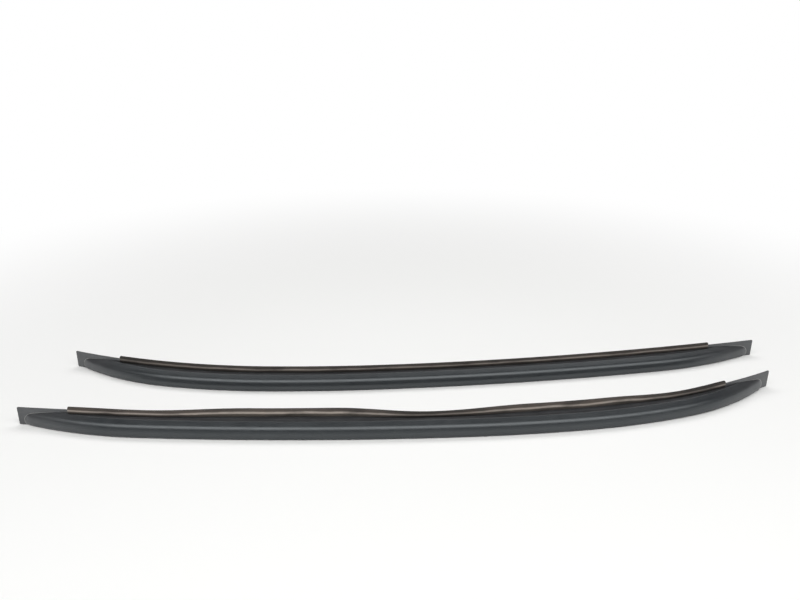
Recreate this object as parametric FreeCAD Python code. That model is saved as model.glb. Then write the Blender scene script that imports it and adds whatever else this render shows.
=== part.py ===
import FreeCAD, Part
import os
from math import acos, atan2, cos, degrees, pi, sin, tan

V = FreeCAD.Vector
UP = V(0, 0, 1)

# Sizes in mm. Both rails lie on their outer long side, as they are laid out on a floor.
# Plan curve of a rail's base, from its rear end to its front end, in three tangent arcs
main_radius = 5700.0
main_length = 950.0
blend_radius = 3000.0
blend_length = 250.0
front_radius = 1340.0
front_length = 500.0

# Base flange, which runs on past the head as a flat tongue at each end
base_width = 41.0
base_thick = 2.5
tongue_corner_radius = 2.0

# Hollow head: "across" is measured from the outer long edge, "high" from the base
head_high = 40.6
head_top_across = 13.0
outer_shoulder_high = 39.0
outer_shoulder_across = 1.2
ridge_high = 35.8
ridge_across = 26.5
lip_high = 20.0
lip_across = 34.5
neck_high = 13.5
neck_across = 30.5
shoulder_radius = 4.0
crown_radius = 20.0
ridge_radius = 17.0
lip_radius = 2.2
head_wall = 2.2

# The head dips towards the base at each end, and then turns down into it in a blunt nose
taper_length = 270.0
rear_nose_setback = 39.0
front_nose_setback = 47.0
nose_high = 10.0
nose_radius = 12.0

# Edge seal, clipped over the inner long edge of the base
seal_clearance = 0.1
seal_front_leg = 2.0
seal_bead = 1.8
seal_back_leg = 2.0
seal_bridge = 2.0
seal_leg_clearance = 0.5
seal_rear_setback = 116.0
seal_front_setback = 140.0
seal_stations = 41
# How far the seal has crept off its seat: share of its length, share of the greatest creep
seal_creep = 12.0
right_seal_creep = ((0.0, 0.35), (0.11, 0.17), (0.27, 0.92), (0.39, 1.0), (0.53, 0.0),
                    (0.68, 0.79), (0.79, 0.84), (0.92, 0.17), (1.0, 0.35))
left_seal_creep = ((0.0, 0.35), (0.5, 0.21), (1.0, 0.35))
# Its legs stretch as it creeps: share of the creep by which their feet follow
seal_foot_share = 0.5
# How far each seal has slid along towards the front
right_seal_slide = -2.5
left_seal_slide = 11.0

# Fixings: hexagonal blind rivet studs in the base, each with a square sealing pad
fixing_count = 4
fixing_first = 150.0
fixing_pitch = 400.0
fixing_across = 16.0
stud_radius = 3.0
stud_length = 20.0
rivet_flats = 9.0
rivet_clearance = 0.05
rivet_flange_radius = 6.5
rivet_flange_thick = 1.2
rivet_bulge_flats = 12.0
rivet_bulge_length = 4.0
rivet_tail_length = 6.0
pad_side = 24.0
pad_thick = 3.0
pad_clearance = 0.5
# Flat seats stand this far off the base, whose back is slightly hollow
seat_clearance = 0.06

# Where the rails lie on the floor: middle of each chord and turn about the vertical
right_place = (-13.5, -111.0)
right_turn = 5.86
left_place = (13.5, 111.0)
left_turn = 2.18


class Arc:
    """One left-turning arc of a path in plan."""

    def __init__(self, start, heading, radius, length):
        self.heading = heading
        self.radius = radius
        self.length = length
        self.centre = start + V(-sin(heading), cos(heading), 0) * radius

    def at(self, run):
        heading = self.heading + run / self.radius
        return self.centre + V(sin(heading), -cos(heading), 0) * self.radius, heading


def chain(start, heading, runs):
    """Tangent arcs, each given as (radius, length)."""
    arcs = []
    for radius, length in runs:
        arc = Arc(start, heading, radius, length)
        arcs.append(arc)
        start, heading = arc.at(length)
    return arcs


def place_on(arcs, run):
    """Point and heading at a distance along the arcs."""
    for arc in arcs[:-1]:
        if run <= arc.length:
            return arc.at(run)
        run = run - arc.length
    return arcs[-1].at(run)


def rounded(corners):
    """Closed wire in (across, high) through corners given as (across, high, radius)."""
    edges = []
    last = None
    first = None
    count = len(corners)
    for i in range(count):
        before = V(*corners[i - 1][:2], 0)
        here = V(*corners[i][:2], 0)
        after = V(*corners[(i + 1) % count][:2], 0)
        back = (before - here).normalize()
        on = (after - here).normalize()
        radius = corners[i][2]
        if radius > 0:
            half = back.getAngle(on) / 2
            start = here + back * (radius / tan(half))
            end = here + on * (radius / tan(half))
            bisector = (back + on).normalize()
            middle = here + bisector * (radius / sin(half) - radius)
        else:
            start = end = here
        if last is not None:
            edges.append(Part.makeLine(last, start))
        else:
            first = start
        if radius > 0:
            edges.append(Part.Arc(start, middle, end).toShape())
        last = end
    edges.append(Part.makeLine(last, first))
    return Part.Wire(edges)


def blunted(before, corner, after):
    """Two sharp corners around a rounding, in place of the one it rounds."""
    here = V(*corner[:2], 0)
    back = (V(*before[:2], 0) - here).normalize()
    on = (V(*after[:2], 0) - here).normalize()
    turn = pi - back.getAngle(on)
    step = corner[2] * (tan(turn / 2) - tan(turn / 4))
    return [(p.x, p.y, 0) for p in (here + back * step, here + on * step)]


def box_section(across_from, across_to, high_from, high_to):
    return rounded([(across_from, high_from, 0), (across_to, high_from, 0),
                    (across_to, high_to, 0), (across_from, high_to, 0)])


def stand_up(wire, point, heading, across):
    """Sets an (across, high) wire square to a path: high is to the path's right."""
    right = V(sin(heading), -cos(heading), 0)
    along = V(cos(heading), sin(heading), 0)
    matrix = FreeCAD.Matrix(across.x, right.x, along.x, point.x,
                            across.y, right.y, along.y, point.y,
                            across.z, right.z, along.z, point.z, 0, 0, 0, 1)
    placed = wire.copy()
    placed.transformShape(matrix)
    return placed


def sweep(wire, arcs, across):
    """Solid of one section turned about the centre of each arc in turn."""
    solids = []
    for arc in arcs:
        start, heading = arc.at(0)
        face = Part.Face(stand_up(wire, start, heading, across))
        solids.append(face.revolve(arc.centre, UP, degrees(arc.length / arc.radius)))
    whole = solids[0]
    if len(solids) > 1:
        whole = solids[0].fuse(solids[1:])
    return whole.removeSplitter().Solids[0]


def base_arcs():
    """The base's plan curve, with its chord along X and the chord's middle at the origin."""
    runs = ((main_radius, main_length), (blend_radius, blend_length),
            (front_radius, front_length))
    trial = chain(V(0, 0, 0), 0.0, runs)
    end = place_on(trial, total_length)[0]
    slope = atan2(end.y, end.x)
    start = V(-end.Length / 2, 0, 0)
    return chain(start, -slope, runs)


def dip_runs(base_radius, setback):
    """A head end's two arcs: the long dip, then the nose's tight turn into the tongue."""
    span = taper_length - setback
    bend = 2 * (head_high - base_thick - nose_high) / span ** 2
    slope = bend * span
    drop = nose_high + base_thick / 2
    turn = acos(cos(slope) - drop / (head_high + nose_radius)) - slope
    return (1 / (1 / base_radius + bend), span), (nose_radius, nose_radius * turn)


def head_arcs(base):
    """The head's own path: on the base in the middle, dipping through it at both ends."""
    rear, rear_nose = dip_runs(main_radius, rear_nose_setback)
    front, front_nose = dip_runs(front_radius, front_nose_setback)
    point, heading = place_on(base, taper_length)
    for radius, length in (rear, rear_nose):
        back = heading - length / radius
        point = point + V(sin(back) - sin(heading), cos(heading) - cos(back), 0) * radius
        heading = back
    return chain(point, heading, (rear_nose, rear, (main_radius, main_length - taper_length),
                                  (blend_radius, blend_length),
                                  (front_radius, front_length - taper_length), front, front_nose))


def make_body(base, across):
    """Flange and hollow head as one piece, with the rivet holes."""
    flange = sweep(box_section(0, base_width, 0, base_thick), base, across)
    ends = [e for e in flange.Edges if is_tongue_corner(e, base)]
    flange = flange.makeFillet(tongue_corner_radius, ends)
    crown = (head_top_across, head_high, crown_radius)
    ridge = (ridge_across, ridge_high, ridge_radius)
    lip = (lip_across, lip_high, lip_radius)
    corners = [(outer_shoulder_across, outer_shoulder_high, shoulder_radius), crown, ridge, lip,
               (neck_across, neck_high, 0)]
    in_flange = base_thick / 2
    outline = rounded([(0, in_flange, 0)] + corners + [(neck_across, in_flange, 0)])
    path = head_arcs(base)
    head = sweep(outline, path, across)
    sharp = [(across_at, high, 0) for across_at, high, radius in corners]
    sharp[2:3] = blunted(crown, ridge, lip)
    sharp = rounded([(0, -head_wall, 0)] + sharp + [(neck_across, -head_wall, 0)])
    inner = sharp.makeOffset2D(-head_wall, 2)
    hollow = sweep(inner, path, across)
    far = 4 * head_high
    under_base = sweep(box_section(-far, far, -far, 0), base, across)
    under_floor = sweep(box_section(-far, far, -far, base_thick), base, across)
    body = flange.fuse(head.cut(under_base)).cut(hollow.cut(under_floor))
    for axis_at, axis in fixing_axes(base, across):
        body = body.cut(hexagon(rivet_flats + 2 * rivet_clearance, -1.5 * base_thick,
                                base_thick / 2, axis_at, axis))
    return body.removeSplitter().Solids[0]


def is_tongue_corner(edge, base):
    """True for the four short edges through the flange at its two ends."""
    if abs(edge.Length - base_thick) > base_thick / 100:
        return False
    middle = edge.CenterOfMass
    at_end = min((middle - place_on(base, run)[0]).Length for run in (0, total_length))
    return at_end < base_width + base_thick


def fixing_axes(base, across):
    """Point on the base's back face and outward direction of each fixing."""
    axes = []
    for i in range(fixing_count):
        point, heading = place_on(base, fixing_first + i * fixing_pitch)
        axes.append((point + across * fixing_across, V(-sin(heading), cos(heading), 0)))
    return axes


def eased(table, share):
    """Value between the table's points, level at each of them."""
    for (a, low), (b, high) in zip(table, table[1:]):
        if share <= b:
            t = (share - a) / (b - a)
            return low + (high - low) * (1 - cos(pi * t)) / 2
    return table[-1][1]


def make_seal(base, creep, slide, across):
    """U-shaped strip over the inner edge, lofted along its crept line."""
    front = base_thick + seal_clearance
    length = total_length - seal_rear_setback - seal_front_setback
    sections = []
    for i in range(seal_stations):
        share = i / (seal_stations - 1)
        lift = seal_creep * eased(creep, share)
        seat = base_width + seal_clearance + lift
        top = seat + seal_bridge
        foot = neck_across + seal_leg_clearance + seal_foot_share * lift
        waist = (top + foot) / 2
        outline = rounded([(foot, front, 0), (foot, front + seal_front_leg, 0),
                           (waist, front + seal_front_leg + seal_bead, 0),
                           (top - seal_bridge / 2, front + seal_front_leg, 0),
                           (top, front, 0), (top, -seal_clearance, 0),
                           (top - seal_bridge / 2, -seal_clearance - seal_back_leg, 0),
                           (foot, -seal_clearance - seal_back_leg, 0),
                           (foot, -seal_clearance, 0), (seat, -seal_clearance, 0),
                           (seat, front, 0)])
        point, heading = place_on(base, seal_rear_setback + slide + share * length)
        sections.append(stand_up(outline, point, heading, across))
    return Part.makeLoft(sections, True, False)


def turned(profile, point, axis):
    """Revolves an (r, z) outline about an axis through a point."""
    corners = [V(r, 0, z) for r, z in profile]
    solid = Part.Face(Part.makePolygon(corners + corners[:1])).revolve(V(0, 0, 0), UP, 360)
    solid.Placement = FreeCAD.Placement(point, FreeCAD.Rotation(UP, axis))
    return solid


def hexagon(flats, low, high, point, axis):
    """Hexagonal prism along an axis, between two distances from a point on it."""
    corner = flats / 2 / cos(pi / 6)
    ring = [V(corner * cos(i * pi / 3), corner * sin(i * pi / 3), low) for i in range(7)]
    prism = Part.Face(Part.makePolygon(ring)).extrude(UP * (high - low))
    prism.Placement = FreeCAD.Placement(point, FreeCAD.Rotation(UP, axis))
    return prism


def make_rivet_stud(point, axis):
    """Blind rivet, set in its hole, with its threaded stud."""
    inside = -base_thick - seat_clearance
    tip = rivet_flange_thick + stud_length
    profile = [(0, seat_clearance), (rivet_flange_radius, seat_clearance),
               (rivet_flange_radius, rivet_flange_thick), (stud_radius, rivet_flange_thick),
               (stud_radius, tip), (0, tip)]
    outside = turned(profile, point, axis)
    barrel = hexagon(rivet_flats, inside - rivet_bulge_length - rivet_tail_length,
                     seat_clearance, point, axis)
    bulge = hexagon(rivet_bulge_flats, inside - rivet_bulge_length, inside, point, axis)
    return outside.fuse([barrel, bulge]).Solids[0]


def make_pad(point, axis):
    """Square cellular pad with a hexagonal hole around the rivet's flange."""
    half = pad_side / 2
    pad = Part.makeBox(pad_side, pad_side, pad_thick - seat_clearance,
                       V(-half, -half, seat_clearance))
    hole_flats = 2 * (rivet_flange_radius + pad_clearance)
    pad = pad.cut(hexagon(hole_flats, -pad_thick, 2 * pad_thick, V(0, 0, 0), UP))
    pad.Placement = FreeCAD.Placement(point, FreeCAD.Rotation(axis.cross(UP), UP, axis, "ZYX"))
    return pad.Solids[0]


def make_rail(side, creep, slide, across):
    """All the pieces of one rail in its own frame, by name; across is up or down."""
    base = base_arcs()
    body = make_body(base, across)
    seal = make_seal(base, creep, slide, across)
    pieces = {side + "_rail": body, side + "_edge_seal": seal}
    for i, (point, axis) in enumerate(fixing_axes(base, across)):
        tail = "_%d" % (i + 1)
        pieces[side + "_rivet_stud" + tail] = make_rivet_stud(point, axis)
        pieces[side + "_sealing_pad" + tail] = make_pad(point, axis)
    return pieces


def laid(shape, place, turn, roll):
    """Sets a piece of one rail on the floor, rolled over end for end if its seal is below."""
    shape.rotate(V(0, 0, 0), V(0, 1, 0), roll)
    shape.rotate(V(0, 0, 0), UP, turn)
    shape.translate(V(place[0], place[1], 0))
    return shape


total_length = main_length + blend_length + front_length
parts = {}
for name, shape in make_rail("right", right_seal_creep, right_seal_slide, UP).items():
    parts[name] = laid(shape, right_place, right_turn, 0)
for name, shape in make_rail("left", left_seal_creep, left_seal_slide, -UP).items():
    parts[name] = laid(shape, left_place, left_turn, 180)

# The origin goes under the middle of the whole pair
box = Part.makeCompound(list(parts.values())).optimalBoundingBox(False, False)
shift = V(-box.Center.x, -box.Center.y, -box.ZMin)

os.makedirs("parts", exist_ok=True)
for name, shape in parts.items():
    shape.translate(shift)
    shape.exportStep("parts/" + name + ".step")
    print(name, shape.ShapeType, shape.isValid(), round(shape.Volume, 1))
print("pair", [round(v, 1) for v in (box.XLength, box.YLength, box.ZLength)], shift)
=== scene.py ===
import bpy
from math import acos, atan2, cos, hypot, pi, radians, sin, sqrt, tan

import bmesh
from mathutils import Matrix, Vector


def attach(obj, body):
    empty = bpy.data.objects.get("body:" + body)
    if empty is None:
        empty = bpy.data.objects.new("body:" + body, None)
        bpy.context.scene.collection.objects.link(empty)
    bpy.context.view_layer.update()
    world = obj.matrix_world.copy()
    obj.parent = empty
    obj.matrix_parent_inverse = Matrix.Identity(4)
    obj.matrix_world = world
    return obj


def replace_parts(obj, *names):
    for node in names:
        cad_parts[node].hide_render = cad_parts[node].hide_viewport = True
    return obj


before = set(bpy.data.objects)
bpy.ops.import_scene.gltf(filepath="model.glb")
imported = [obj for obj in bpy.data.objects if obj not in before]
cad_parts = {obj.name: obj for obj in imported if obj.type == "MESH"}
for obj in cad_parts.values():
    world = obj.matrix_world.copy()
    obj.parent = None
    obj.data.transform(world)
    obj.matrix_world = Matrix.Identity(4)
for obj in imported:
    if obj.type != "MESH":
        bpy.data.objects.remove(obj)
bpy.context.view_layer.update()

scene = bpy.context.scene
scene.view_settings.view_transform = "Standard"


# ---- Node helpers

def material(name):
    """New material, its node tree and its shader."""
    mat = bpy.data.materials.new(name)
    mat.use_nodes = True
    tree = mat.node_tree
    return mat, tree, tree.nodes["Principled BSDF"]


def feed(tree, node, inputs):
    """Link each input to the socket given for it, or set it to the value given."""
    for key, source in inputs.items():
        if isinstance(source, bpy.types.NodeSocket):
            tree.links.new(source, node.inputs[key])
        else:
            node.inputs[key].default_value = source


def add_node(tree, kind, inputs, **settings):
    """New node with its settings made and its inputs fed."""
    made = tree.nodes.new("ShaderNode" + kind)
    for key, value in settings.items():
        setattr(made, key, value)
    feed(tree, made, inputs)
    return made


def attribute(tree, name, output="Fac"):
    """A mesh's point values, by their name."""
    return add_node(tree, "Attribute", {}, attribute_name=name).outputs[output]


def calc(tree, operation, *terms):
    """Result of a Math node on sockets and values."""
    return add_node(tree, "Math", dict(enumerate(terms)), operation=operation).outputs[0]


def mix(tree, share, first, second, blend="MIX"):
    """Second colour mixed over the first."""
    made = add_node(tree, "MixRGB", {"Fac": share, "Color1": first, "Color2": second},
                    blend_type=blend)
    return made.outputs["Color"]


def ramp(tree, source, stops):
    """Colour ramp from a value, stops as (position, rgb)."""
    made = add_node(tree, "ValToRGB", {"Fac": source})
    while len(made.color_ramp.elements) < len(stops):
        made.color_ramp.elements.new(0.5)
    for element, (position, rgb) in zip(made.color_ramp.elements, stops):
        element.position = position
        element.color = (*rgb, 1)
    return made.outputs["Color"]


def smooth_range(tree, source, start, end, low=0.0, high=1.0):
    """Eased passage from low to high while the source goes from start to end."""
    made = add_node(tree, "MapRange", {"Value": source, "From Min": start, "From Max": end,
                                       "To Min": low, "To Max": high},
                    interpolation_type="SMOOTHSTEP")
    return made.outputs["Result"]


def noise(tree, scale, detail=3.0, rough=0.5, stretch=(1, 1, 1)):
    """Noise in the piece's own space, drawn out along an axis by a stretch below 1."""
    place = add_node(tree, "TexCoord", {})
    mapping = add_node(tree, "Mapping", {"Vector": place.outputs["Object"], "Scale": stretch})
    made = add_node(tree, "TexNoise", {"Vector": mapping.outputs["Vector"], "Scale": scale,
                                       "Detail": detail, "Roughness": rough})
    return made.outputs["Fac"]


def bump(tree, shader, height, strength, distance):
    made = add_node(tree, "Bump", {"Height": height, "Strength": strength, "Distance": distance})
    feed(tree, shader, {"Normal": made.outputs["Normal"]})


def grey(value):
    return (value, value, value)


# ---- Finishes

def black_coat():
    """Satin powder coat: fine grain, faint cloudiness, a little dust, and a painted highlight along
    the nose beads.
    """
    mat, tree, shader = material("black_coat")
    cloud = noise(tree, scale=9.0, detail=4.0, rough=0.55, stretch=(0.5, 1, 1))
    clean = ramp(tree, cloud, [(0.3, (0.013, 0.0155, 0.018)), (0.7, (0.019, 0.0215, 0.024))])
    film = noise(tree, scale=55.0, detail=6.0, rough=0.6, stretch=(0.4, 1, 1))
    dusty = ramp(tree, film, [(0.3, (0.044, 0.044, 0.046)), (0.7, (0.074, 0.074, 0.077))])
    rim_highlight_colour, speck_colour = (0.26, 0.257, 0.25, 1), (0.11, 0.108, 0.102, 1)
    coat = mix(tree, attribute(tree, "dust"), clean, dusty)
    # Painted highlight: the nose beads are painted pale grey, standing in for light caught on the
    # step round each nose.
    coat = mix(tree, attribute(tree, "rim_highlight"), coat, rim_highlight_colour)
    specks = noise(tree, scale=420.0, detail=3.0, rough=0.7)
    coat = mix(tree, ramp(tree, specks, [(0.64, grey(0)), (0.74, grey(0.7))]), coat, speck_colour)
    haze = noise(tree, scale=42.0, detail=5.0, rough=0.6)
    feed(tree, shader, {"Base Color": coat,
                        "Roughness": ramp(tree, haze, [(0.3, grey(0.32)), (0.75, grey(0.42))]),
                        "Specular IOR Level": 0.85,
                        "Specular Tint": (0.92, 0.975, 1.0, 1)})
    grain = noise(tree, scale=900.0, detail=2.0)
    bump(tree, shader, grain, strength=0.1, distance=0.0004)
    return mat


def seal_rubber():
    """Dusty brown-grey rubber: dark along its top, a painted highlight along its bead, dull below.

    The stripes lie around the section, over a reach in mm, and sway along the strip.
    """
    mat, tree, shader = material("seal_rubber")
    stripe_reach, stripe_sway = 20, 4.2
    sway = add_node(tree, "TexNoise", {"W": attribute(tree, "run"), "Scale": 7.0, "Detail": 2.0},
                    noise_dimensions="1D")
    around = calc(tree, "MULTIPLY_ADD", sway.outputs["Fac"], stripe_sway, attribute(tree, "band"))
    # Painted highlight: the pale stops at 0.50 and 0.60 paint light caught along the bead; the
    # other stops are the rubber's dark tone.
    stripe = ramp(tree, calc(tree, "MULTIPLY", around, 1 / stripe_reach), [
        (0.12, (0.060, 0.052, 0.044)), (0.42, (0.105, 0.092, 0.080)),
        (0.50, (0.37, 0.325, 0.29)), (0.60, (0.34, 0.30, 0.265)),
        (0.68, (0.080, 0.066, 0.056)), (1.0, (0.050, 0.041, 0.036))])
    dust = noise(tree, scale=34.0, detail=6.0, rough=0.62, stretch=(0.35, 1, 1))
    tone = ramp(tree, dust, [(0.3, grey(0.4)), (0.52, grey(0.95)), (0.8, (1.25, 1.21, 1.16))])
    rubber = mix(tree, 1.0, stripe, tone, "MULTIPLY")
    # Painted light and shade: the whole rubber is scaled along the strip by a share that stands in
    # for how light falls on it.
    rubber = mix(tree, 1.0, rubber, attribute(tree, "painted_light", "Color"), "MULTIPLY")
    feed(tree, shader, {"Base Color": rubber, "Roughness": 0.7, "Specular IOR Level": 0.35})
    grain = noise(tree, scale=260.0, detail=4.0, rough=0.6)
    bump(tree, shader, grain, strength=0.25, distance=0.0006)
    return mat


def pad_rubber():
    """Foamed black rubber."""
    mat, tree, shader = material("pad_rubber")
    cells = noise(tree, scale=700.0, detail=3.0, rough=0.6)
    foam = ramp(tree, cells, [(0.35, (0.012, 0.012, 0.012)), (0.7, (0.035, 0.035, 0.034))])
    feed(tree, shader, {"Base Color": foam, "Roughness": 0.85})
    bump(tree, shader, cells, strength=0.5, distance=0.0005)
    return mat


def stud_steel():
    """Zinc-plated steel, a little stained."""
    mat, tree, shader = material("stud_steel")
    stain = noise(tree, scale=220.0, detail=4.0, rough=0.6)
    zinc = ramp(tree, stain, [(0.3, (0.50, 0.50, 0.48)), (0.75, (0.68, 0.68, 0.66))])
    feed(tree, shader, {"Base Color": zinc, "Metallic": 1.0, "Roughness": 0.34})
    bump(tree, shader, stain, strength=0.1, distance=0.0003)
    return mat


FINISHES = {"rail": black_coat(), "edge_seal": seal_rubber(), "sealing_pad": pad_rubber(),
            "rivet_stud": stud_steel()}
for name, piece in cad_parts.items():
    kind = name.split("_", 1)[1].rstrip("_0123456789")
    piece.data.materials.clear()
    piece.data.materials.append(FINISHES[kind])


# ---- Sizes in mm, as the solids have them

METRE = 1000.0
# Base: (radius, length) of its three arcs, then its flange
MAIN, BLEND, FRONT = (5700.0, 950.0), (3000.0, 250.0), (1340.0, 500.0)
LENGTH = MAIN[1] + BLEND[1] + FRONT[1]
BASE_WIDE, BASE_THICK, TONGUE_CORNER = 41.0, 2.5, 2.0
# Head: corners of its section as (across, high, radius), then the dip at its ends
HEAD_HIGH, NECK_ACROSS = 40.6, 30.5
HEAD = [(1.2, 39.0, 4.0), (13.0, HEAD_HIGH, 20.0), (26.5, 35.8, 17.0), (34.5, 20.0, 2.2),
        (NECK_ACROSS, 13.5, 0.0)]
TAPER, REAR_NOSE, FRONT_NOSE = 270.0, 39.0, 47.0
NOSE_HIGH, NOSE_RADIUS = 10.0, 12.0
# Seal: a U over the flange's inner edge, with a bead on its front leg
SEAL_REAR, SEAL_FRONT = 116.0, 140.0
SEAL_CLEAR, SEAL_LEG_CLEAR = 0.1, 0.5
SEAL_FRONT_LEG, SEAL_BACK_LEG, SEAL_BRIDGE, SEAL_BEAD = 2.0, 2.0, 2.0, 1.8
SEAL_CREEP, SEAL_FOOT_SHARE = 12.0, 0.5
# Rivet studs: their places along and across the base, then each from its tail to its tip
FIXING_COUNT, FIXING_FIRST, FIXING_PITCH, FIXING_ACROSS = 4, 150.0, 400.0, 16.0
SEAT_CLEAR = 0.06
RIVET_FLATS, RIVET_TAIL_LENGTH = 9.0, 6.0
RIVET_BULGE_FLATS, RIVET_BULGE_LENGTH = 12.0, 4.0
RIVET_FLANGE_RADIUS, RIVET_FLANGE_TOP = 6.5, 1.2
STUD_RADIUS, STUD_LENGTH = 3.0, 20.0
STUD_TIP = RIVET_FLANGE_TOP + STUD_LENGTH

# By how much the solids are moved so that their origin lies under the middle of the pair
SHIFT = (-2.0586, 61.8805)
# Each rail's place and its turn in degrees, -1 where it is rolled over end for end, how far its
# seal has slid, and along the seal, as (share of its length, value), its share of the greatest
# creep and its painted light and shade, a share that scales the strip's whole colour
SIDES = {
    "right": {"place": (-13.5, -111.0), "turn": 5.86, "flip": 1, "slide": -2.5,
              "creep": ((0.0, 0.35), (0.11, 0.17), (0.27, 0.92), (0.39, 1.0), (0.53, 0.0),
                        (0.68, 0.79), (0.79, 0.84), (0.92, 0.17), (1.0, 0.35)),
              "painted_light": ((0.0, 0.8), (0.06, 1.0), (0.42, 1.0), (0.55, 0.38), (0.66, 0.95),
                       (0.8, 0.9), (0.93, 0.4), (1.0, 0.6))},
    "left": {"place": (13.5, 111.0), "turn": 2.18, "flip": -1, "slide": 11.0,
             "creep": ((0.0, 0.35), (0.5, 0.21), (1.0, 0.35)),
             "painted_light": ((0.0, 0.65), (0.5, 0.58), (0.75, 0.7), (1.0, 0.4))},
}


# ---- Fine trim that only the scene has, in mm

# Rounded edges
BASE_ROUND, RIVET_FLANGE_EDGE = 0.4, 0.2
SEAL_ROUND, SEAL_FOOT_ROUND, SEAL_SHOULDER_ROUND, SEAL_BEAD_ROUND = 0.6, 0.3, 0.7, 2.5
# Bead round each nose: its run from the tip, how near it comes to the flange's outer edge,
# and the share of its line from there on that has the full radius
RIM_RUN, RIM_RADIUS, RIM_EDGE, RIM_FULL = 60.0, 0.8, 1.4, 0.15
# Cut thread: radius at its root and at the bevelled tip, then over the pitch, from the middle
# of the crest, where the crest ends and where the root starts
THREAD_ROOT, TIP_RADIUS, THREAD_PITCH = 2.45, 2.2, 1.0
CREST_SHARE, ROOT_SHARE = 0.0625, 0.375
# Dust from 0 to 1: at a nose, fading over a run, and on the base's back
NOSE_DUST, NOSE_DUST_RUN, BACK_DUST = 0.75, 160.0, 0.2

# Fineness of the meshes: steps in mm or degrees, counts, and creases in degrees
SECTION_STEP, HEAD_STEP, BASE_STEP = 2.5, 7.0, 8.0
SECTION_TURN, EDGE_TURN = 5, 30
NOSE_ZONE, NOSE_STEPS, CORNER_STEPS, NOSE_HALVINGS = 70.0, 80, 8, 50
RIM_SIDES, SEAL_STATIONS, SEAL_ROUND_STEPS = 10, 320, 5
STUD_SEGMENTS, THREAD_RINGS, AXIS_RADIUS = 28, 160, 0.01
RAIL_CREASE, SEAL_CREASE, STUD_CREASE = 13, 35, 28
MERGE, SLIVER = 0.000002, 0.000001  # in metres


# ---- Paths and sections

def chain(x, y, heading, runs):
    """Tangent arcs as (centre x, centre y, radius, heading at the start, length)."""
    arcs = []
    for radius, length in runs:
        cx, cy = x - sin(heading) * radius, y + cos(heading) * radius
        arcs.append((cx, cy, radius, heading, length))
        heading += length / radius
        x, y = cx + sin(heading) * radius, cy - cos(heading) * radius
    return arcs


def on_path(arcs, run):
    """Point and heading at a distance along the arcs."""
    for cx, cy, radius, heading, length in arcs[:-1]:
        if run <= length:
            break
        run -= length
    else:
        cx, cy, radius, heading, length = arcs[-1]
    heading += run / radius
    return cx + sin(heading) * radius, cy - cos(heading) * radius, heading


def base_path():
    """The base's three arcs, with the chord between its ends level and centred."""
    x, y, heading = on_path(chain(0, 0, 0, (MAIN, BLEND, FRONT)), LENGTH)
    return chain(-hypot(x, y) / 2, 0, -atan2(y, x), (MAIN, BLEND, FRONT))


def dip(radius, setback):
    """A head end's two arcs: the long dip, then the nose's tight turn into the tongue."""
    span = TAPER - setback
    bend = 2 * (HEAD_HIGH - BASE_THICK - NOSE_HIGH) / span ** 2
    slope = bend * span
    drop = (NOSE_HIGH + BASE_THICK / 2) / (HEAD_HIGH + NOSE_RADIUS)
    turn = acos(cos(slope) - drop) - slope
    return (1 / (1 / radius + bend), span), (NOSE_RADIUS, NOSE_RADIUS * turn)


def head_path(base):
    """The head's arcs: along the base, with a dip and a nose at each end."""
    rear, rear_nose = dip(MAIN[0], REAR_NOSE)
    front, front_nose = dip(FRONT[0], FRONT_NOSE)
    x, y, heading = on_path(base, TAPER)
    for radius, length in (rear, rear_nose):
        back = heading - length / radius
        x += (sin(back) - sin(heading)) * radius
        y -= (cos(back) - cos(heading)) * radius
        heading = back
    return chain(x, y, heading, (rear_nose, rear, (MAIN[0], MAIN[1] - TAPER), BLEND,
                                 (FRONT[0], FRONT[1] - TAPER), front, front_nose))


def rounded(corners, closed=True, step=radians(SECTION_TURN), steps_each=0):
    """Points through corners given as (across, high, radius)."""
    points = []
    count = len(corners)
    for i, (a, h, radius) in enumerate(corners):
        here = Vector((a, h))
        if radius == 0 or (not closed and i in (0, count - 1)):
            points.append((a, h))
            continue
        back = (Vector(corners[i - 1][:2]) - here).normalized()
        on = (Vector(corners[(i + 1) % count][:2]) - here).normalized()
        half = back.angle(on) / 2
        middle = here + (back + on).normalized() * (radius / sin(half))
        start = here + back * (radius / tan(half)) - middle
        end = here + on * (radius / tan(half)) - middle
        turn = start.angle_signed(end)
        steps = steps_each or max(2, int(abs(turn) / step) + 1)
        for k in range(steps + 1):
            angle = -turn * k / steps
            points.append((middle.x + start.x * cos(angle) - start.y * sin(angle),
                           middle.y + start.x * sin(angle) + start.y * cos(angle)))
    return points


def head_section():
    """The head's outline from its outer foot over the crown to its neck, in short steps."""
    foot = BASE_THICK / 2
    outline = rounded([(0.0, foot, 0.0)] + HEAD + [(NECK_ACROSS, foot, 0.0)], closed=False)
    points = []
    for (a0, h0), (a1, h1) in zip(outline, outline[1:]):
        steps = max(1, int(hypot(a1 - a0, h1 - h0) / SECTION_STEP))
        points += [(a0 + (a1 - a0) * k / steps, h0 + (h1 - h0) * k / steps)
                   for k in range(steps)]
    return points + outline[-1:]


SECTION = head_section()
HEAD_TOP = max(high for across, high in SECTION)
LIP_END = max(range(len(SECTION)), key=lambda i: SECTION[i][0])


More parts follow.
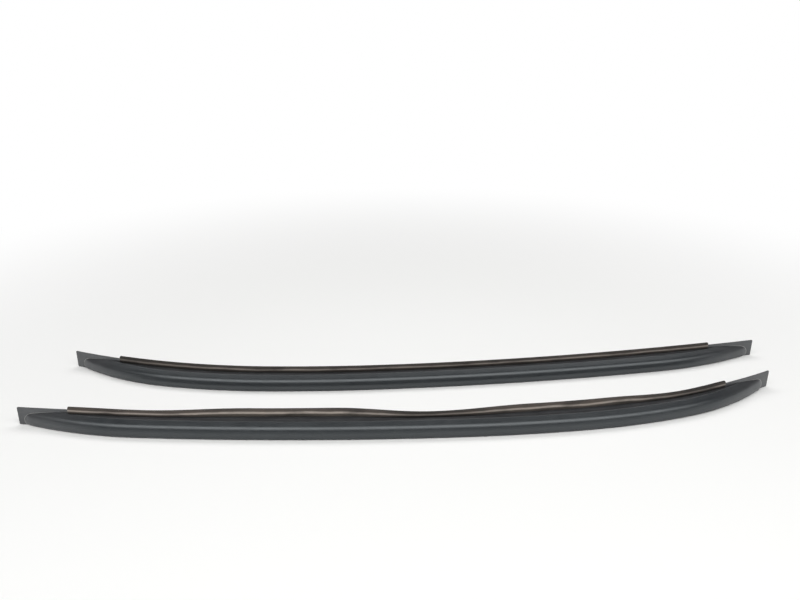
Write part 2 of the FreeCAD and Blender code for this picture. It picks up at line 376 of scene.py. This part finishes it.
def seal_section(lift):
    """The strip's outline where it has crept by a distance; its feet follow by a share of it."""
    foot = NECK_ACROSS + SEAL_LEG_CLEAR + SEAL_FOOT_SHARE * lift
    seat = BASE_WIDE + SEAL_CLEAR + lift
    top = seat + SEAL_BRIDGE
    shoulder = top - SEAL_BRIDGE / 2
    front, back = BASE_THICK + SEAL_CLEAR, -SEAL_CLEAR
    front_face, back_face = front + SEAL_FRONT_LEG, back - SEAL_BACK_LEG
    return rounded([(foot, front, SEAL_FOOT_ROUND), (foot, front_face, SEAL_ROUND),
                    ((top + foot) / 2, front_face + SEAL_BEAD, SEAL_BEAD_ROUND),
                    (shoulder, front_face, SEAL_SHOULDER_ROUND), (top, front, SEAL_ROUND),
                    (top, back, SEAL_ROUND), (shoulder, back_face, SEAL_ROUND),
                    (foot, back_face, SEAL_ROUND), (foot, back, SEAL_FOOT_ROUND),
                    (seat, back, 0), (seat, front, 0)], steps_each=SEAL_ROUND_STEPS)


def world_point(side, x, y, heading, across, high):
    """Scene point of a section's point; high is to the path's right."""
    x, y = x + sin(heading) * high, y - cos(heading) * high
    x *= side["flip"]
    turn = radians(side["turn"])
    return ((x * cos(turn) - y * sin(turn) + side["place"][0] + SHIFT[0]) / METRE,
            (x * sin(turn) + y * cos(turn) + side["place"][1] + SHIFT[1]) / METRE,
            across / METRE)


# ---- Meshes

def rings_mesh(rings, first=0, caps=True):
    """Faces between closed rings of equal count, whose points are numbered from first on."""
    count = len(rings[0])
    faces = []
    for j in range(len(rings) - 1):
        a, b = first + j * count, first + (j + 1) * count
        for i in range(count):
            k = (i + 1) % count
            faces.append((a + i, a + k, b + k, b + i))
    if caps:
        faces.append(tuple(range(first, first + count)))
        last = first + (len(rings) - 1) * count
        faces.append(tuple(range(last, last + count)))
    return faces


def add_mesh(name, points, faces, finish, crease, values=None):
    """Piece of the part from points and faces, with point values by their names."""
    data = bpy.data.meshes.new(name)
    data.from_pydata(points, [], faces)
    for key, row in (values or {}).items():
        data.attributes.new(key, "FLOAT", "POINT").data.foreach_set("value", row)
    work = bmesh.new()
    work.from_mesh(data)
    bmesh.ops.remove_doubles(work, verts=work.verts, dist=MERGE)
    bmesh.ops.dissolve_degenerate(work, edges=work.edges, dist=SLIVER)
    bmesh.ops.recalc_face_normals(work, faces=work.faces)
    work.to_mesh(data)
    work.free()
    data.shade_smooth()
    data.materials.append(finish)
    made = bpy.data.objects.new(name, data)
    scene.collection.objects.link(made)
    split = made.modifiers.new("creases", "EDGE_SPLIT")
    split.split_angle = radians(crease)
    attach(made, "root")
    return made


def stations(start, end, near, zone, step):
    """Runs from start to end: as near lists them in a zone at each end, evenly between."""
    inner = end - start - 2 * zone
    count = int(inner / step)
    runs = [start + d for d in near]
    runs += [start + zone + inner * k / count for k in range(1, count)]
    return runs + [end - d for d in reversed(near)]


# ---- Rails

def face_height(base, x, y, heading, rear):
    """Height of the flange's face above a head station, in that station's section."""
    cx, cy, radius = (base[0] if rear else base[2])[:3]
    dx, dy = x - cx, y - cy
    along = dx * sin(heading) - dy * cos(heading)
    return -along + sqrt(along ** 2 - dx * dx - dy * dy + (radius + BASE_THICK) ** 2)


def clipped(section, floor):
    """Section with all that lies below a level drawn up to where it crosses it."""
    top = max(range(len(section)), key=lambda i: section[i][1])
    kept = list(section)
    for way in (1, -1):
        stop = None
        i = top
        while 0 <= i + way < len(section):
            a, b = section[i], section[i + way]
            if stop is None and b[1] < floor:
                t = (a[1] - floor) / (a[1] - b[1])
                stop = (a[0] + (b[0] - a[0]) * t, floor)
            i += way
            if stop is not None:
                kept[i] = stop
    return kept


def nose_run(base, head, low, high, rear):
    """Distance along the head's path at which its top meets the flange's face."""
    for _ in range(NOSE_HALVINGS):
        middle = (low + high) / 2
        above = HEAD_TOP > face_height(base, *on_path(head, middle), rear)
        if above == rear:
            high = middle
        else:
            low = middle
    return high if rear else low


def head_rings(side, base):
    """The head's rings, their dust, and its feet along the rear and the front nose.

    The feet are given from each tip on, as (station, outer foot, inner foot).
    """
    head = head_path(base)
    whole = sum(arc[4] for arc in head)
    first = nose_run(base, head, 0.0, TAPER, True)
    last = nose_run(base, head, whole - TAPER, whole, False)
    near = [NOSE_ZONE * (k / NOSE_STEPS) ** 2 for k in range(NOSE_STEPS + 1)]
    rings, dust, rear_feet, front_feet = [], [], [], []
    for run in stations(first, last, near, NOSE_ZONE, HEAD_STEP):
        at = on_path(head, run)
        rear = run < whole / 2
        level = BASE_THICK
        if run < TAPER or run > whole - TAPER:
            level = face_height(base, *at, rear)
        kept = clipped(SECTION, level)
        rings.append([world_point(side, *at, a, h) for a, h in kept])
        from_tip = min(run - first, last - run)
        film = NOSE_DUST * max(0.0, 1 - from_tip / NOSE_DUST_RUN)
        dust += [1.0 if i > LIP_END else film for i in range(len(kept))]
        if from_tip < RIM_RUN:
            (rear_feet if rear else front_feet).append((at, kept[0], kept[-1]))
    return rings, dust, (rear_feet, front_feet[::-1])


def flange_rings(side, base):
    """The flange's rings, drawn in at the tongues' round corners, and their dust."""
    near = [TONGUE_CORNER * (1 - cos(k * pi / 2 / CORNER_STEPS)) for k in range(CORNER_STEPS + 1)]
    rings, dust = [], []
    for run in stations(0.0, LENGTH, near, TONGUE_CORNER, BASE_STEP):
        at = on_path(base, run)
        short = TONGUE_CORNER - min(run, LENGTH - run, TONGUE_CORNER)
        inset = TONGUE_CORNER - sqrt(TONGUE_CORNER ** 2 - short ** 2)
        edge = rounded([(inset, 0, BASE_ROUND), (BASE_WIDE - inset, 0, BASE_ROUND),
                        (BASE_WIDE - inset, BASE_THICK, BASE_ROUND),
                        (inset, BASE_THICK, BASE_ROUND)], step=radians(EDGE_TURN))
        rings.append([world_point(side, *at, a, h) for a, h in edge])
        dust += [1.0 if h > BASE_THICK / 2 else BACK_DUST for a, h in edge]
    return rings, dust


def nose_rim(side, feet):
    """Rings of the low bead round a nose, from its outer edge over the tip to its inner edge.

    It thins out towards the inner end.
    """
    line = [(at, outer) for at, outer, inner in reversed(feet[1:]) if outer[0] > RIM_EDGE]
    line += [(at, inner) for at, outer, inner in feet]
    spots = [Vector(world_point(side, *at, *foot)) for at, foot in line]
    turns = [2 * pi * k / RIM_SIDES for k in range(RIM_SIDES)]
    rings = []
    for i, ((at, foot), spot) in enumerate(zip(line, spots)):
        along = (spots[min(i + 1, len(spots) - 1)] - spots[max(i - 1, 0)]).normalized()
        out = (Vector(world_point(side, *at, foot[0], foot[1] + 1)) - spot).normalized()
        wide = along.cross(out)
        radius = RIM_RADIUS / METRE * min(1.0, 1 + RIM_FULL - i / len(spots))
        rings.append([spot + (out * cos(t) + wide * sin(t)) * radius for t in turns])
    return rings


def rail_skin(name, side):
    """Head, flange and nose beads as one piece; the beads are dusty and carry a painted highlight.
    """
    base = base_path()
    head, head_dust, noses = head_rings(side, base)
    flange, flange_dust = flange_rings(side, base)
    dust = head_dust + flange_dust
    points = [p for ring in head for p in ring]
    faces = rings_mesh(head, caps=False)
    for tube in [flange] + [nose_rim(side, feet) for feet in noses]:
        faces += rings_mesh(tube, len(points))
        points += [p for ring in tube for p in ring]
    beads = [1.0] * (len(points) - len(dust))
    # Mask of the painted highlight, 1 on the nose beads.
    rim_highlight = [0.0] * len(dust) + beads
    return add_mesh(name, points, faces, FINISHES["rail"], RAIL_CREASE,
                    {"dust": dust + beads, "rim_highlight": rim_highlight})


# ---- Seals and studs

def eased(table, share):
    """Value at a share of the length, with a smooth passage between the table's rows."""
    for (a, low), (b, high) in zip(table, table[1:]):
        if share <= b:
            return low + (high - low) * (1 - cos(pi * (share - a) / (b - a))) / 2
    return table[-1][1]


def seal_skin(name, side):
    """The strip, with point values for its stripes (band, in mm), run (in metres) and painted light
    and shade along it.
    """
    base = base_path()
    length = LENGTH - SEAL_REAR - SEAL_FRONT
    section = seal_section(0.0)
    around = [0.0]
    for (a0, h0), (a1, h1) in zip(section, section[1:]):
        around.append(around[-1] + hypot(a1 - a0, h1 - h0))
    rings, bands, runs, painted_lights = [], [], [], []
    for j in range(SEAL_STATIONS + 1):
        share = j / SEAL_STATIONS
        at = on_path(base, SEAL_REAR + side["slide"] + share * length)
        section = seal_section(SEAL_CREEP * eased(side["creep"], share))
        rings.append([world_point(side, *at, a, h) for a, h in section])
        bands += around
        runs += [share * length / METRE] * len(section)
        # Share of painted light and shade at this station.
        painted_lights += [eased(side["painted_light"], share)] * len(section)
    points = [p for ring in rings for p in ring]
    return add_mesh(name, points, rings_mesh(rings), FINISHES["edge_seal"], SEAL_CREASE,
                    {"band": bands, "run": runs, "painted_light": painted_lights})


def thread_radius(z, turn):
    """Radius of the stud, with its cut thread and bevelled tip, at a height and share of a turn."""
    from_crest = abs((z / THREAD_PITCH - turn) % 1 - 0.5)
    depth = min(1.0, max(0.0, (from_crest - CREST_SHARE) / (ROOT_SHARE - CREST_SHARE)))
    return min(STUD_RADIUS - (STUD_RADIUS - THREAD_ROOT) * depth, TIP_RADIUS + STUD_TIP - z)


def stud_shells():
    """Flange with threaded stud, barrel and bulge, as shells of rings around the Z axis."""
    rim, edge = RIVET_FLANGE_RADIUS, RIVET_FLANGE_EDGE
    rows = [(AXIS_RADIUS, SEAT_CLEAR), (rim - edge, SEAT_CLEAR), (rim, SEAT_CLEAR + edge),
            (rim, RIVET_FLANGE_TOP - edge), (rim - edge, RIVET_FLANGE_TOP),
            (THREAD_ROOT, RIVET_FLANGE_TOP)]
    rings = [[row] * STUD_SEGMENTS for row in rows]
    for j in range(1, THREAD_RINGS + 1):
        z = RIVET_FLANGE_TOP + STUD_LENGTH * j / THREAD_RINGS
        rings.append([(thread_radius(z, k / STUD_SEGMENTS), z) for k in range(STUD_SEGMENTS)])
    rings.append([(AXIS_RADIUS, STUD_TIP)] * STUD_SEGMENTS)
    solids = [rings]
    inside = -BASE_THICK - SEAT_CLEAR
    bulge_end = inside - RIVET_BULGE_LENGTH
    for flats, low, high in ((RIVET_FLATS, bulge_end - RIVET_TAIL_LENGTH, SEAT_CLEAR),
                             (RIVET_BULGE_FLATS, bulge_end, inside)):
        corner = flats / 2 / cos(pi / 6)
        solids.append([[(corner, z)] * 6 for z in (low, high)])
    return [[[(r * cos(2 * pi * k / len(ring)), r * sin(2 * pi * k / len(ring)), z)
              for k, (r, z) in enumerate(ring)] for ring in solid] for solid in solids]


def stud_skin(name, side, run):
    """Blind rivet with a cut thread on its stud, in the solid's place."""
    x, y, heading = on_path(base_path(), run)
    out = Vector((-sin(heading), cos(heading), 0))
    turn = Vector((0, 0, 1)).rotation_difference(out).to_matrix().to_4x4()
    if side["flip"] < 0:
        turn = Matrix.Rotation(pi, 4, "Y") @ turn
    turn = Matrix.Rotation(radians(side["turn"]), 4, "Z") @ turn
    spot = Vector(world_point(side, x, y, heading, FIXING_ACROSS, 0))
    points, faces = [], []
    for shell in stud_shells():
        faces += rings_mesh(shell, len(points))
        points += [spot + turn @ (Vector(p) / METRE) for ring in shell for p in ring]
    return add_mesh(name, points, faces, FINISHES["rivet_stud"], STUD_CREASE)


for side_name, side in SIDES.items():
    for i in range(FIXING_COUNT):
        tail = "_%d" % (i + 1)
        run = FIXING_FIRST + FIXING_PITCH * i
        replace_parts(stud_skin(side_name + "_stud_skin" + tail, side, run),
                    side_name + "_rivet_stud" + tail)
    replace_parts(rail_skin(side_name + "_rail_skin", side), side_name + "_rail")
    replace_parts(seal_skin(side_name + "_seal_skin", side), side_name + "_edge_seal")


# ---- Floor, sky, lamps and camera, in metres and degrees

FLOOR_SIZE, FLOOR_DROP = 160, 0.0002
FADE_START, FADE_END = 0.6, 2.0
# The sky's strength goes from the first to the second as a direction's rise does
SKY_RISE, SKY_STRENGTH = (0.1, 0.2), (1.0, 0.04)
CAMERA_PLACE, CAMERA_DOWN = (-0.03656, -1.62512, 0.885), 21.92


def white_rays(tree):
    """1 for the rays that see the white surroundings: from the camera, mirrored or let through."""
    path = add_node(tree, "LightPath", {})
    seen = path.outputs["Is Camera Ray"]
    for kind in ("Is Glossy Ray", "Is Transmission Ray"):
        seen = calc(tree, "MAXIMUM", seen, path.outputs[kind])
    return seen


def add_floor():
    """Pale floor, fading to white away from the part."""
    bpy.ops.mesh.primitive_plane_add(size=FLOOR_SIZE)
    floor = bpy.context.object
    floor.name = "floor"
    floor.location.z = -FLOOR_DROP
    mat, tree, shader = material("floor")
    feed(tree, shader, {"Base Color": (0.95, 0.95, 0.938, 1), "Roughness": 0.9,
                        "Specular IOR Level": 0.1})
    place = add_node(tree, "TexCoord", {})
    away = add_node(tree, "VectorMath", {0: place.outputs["Object"]}, operation="LENGTH")
    fade = smooth_range(tree, away.outputs["Value"], FADE_START, FADE_END)
    white = add_node(tree, "Emission", {})
    mixed = add_node(tree, "MixShader", {"Fac": calc(tree, "MULTIPLY", fade, white_rays(tree)),
                                         1: shader.outputs["BSDF"],
                                         2: white.outputs["Emission"]})
    feed(tree, tree.nodes["Material Output"], {"Surface": mixed.outputs["Shader"]})
    floor.data.materials.append(mat)


def add_sky():
    """White surroundings, bright at the horizon and dim overhead."""
    world = bpy.data.worlds.new("sky")
    world.use_nodes = True
    tree = world.node_tree
    place = add_node(tree, "TexCoord", {})
    rise = add_node(tree, "SeparateXYZ", {"Vector": place.outputs["Generated"]})
    strength = smooth_range(tree, rise.outputs["Z"], *SKY_RISE, *SKY_STRENGTH)
    feed(tree, tree.nodes["Background"], {"Color": (1, 1, 1, 1), "Strength": strength})
    scene.world = world


def soft_lamp(name, place, aim, size, power):
    """Area lamp of a size, turned to its aim."""
    data = bpy.data.lights.new(name, "AREA")
    data.shape = "RECTANGLE"
    data.size, data.size_y = size
    data.energy = power
    lamp = bpy.data.objects.new(name, data)
    scene.collection.objects.link(lamp)
    lamp.location = place
    lamp.rotation_euler = (Vector(aim) - Vector(place)).to_track_quat("-Z", "Y").to_euler()


def add_camera():
    """Camera at the photograph's viewing angle."""
    camera = bpy.data.objects.new("camera", bpy.data.cameras.new("camera"))
    scene.collection.objects.link(camera)
    camera.location = CAMERA_PLACE
    camera.rotation_euler = (radians(90 - CAMERA_DOWN), 0, 0)
    camera.data.sensor_width = 36
    camera.data.lens = 36
    camera.data.clip_start = 0.05
    camera.data.clip_end = 300
    scene.camera = camera


add_floor()
add_sky()
soft_lamp("front_box", place=(0.4, -1.75, 2.45), aim=(0.4, 0, 0), size=(7.0, 1.6), power=120)
soft_lamp("back_box", place=(0.0, 1.45, 2.5), aim=(0, 0, 0), size=(4.6, 1.3), power=45)
add_camera()
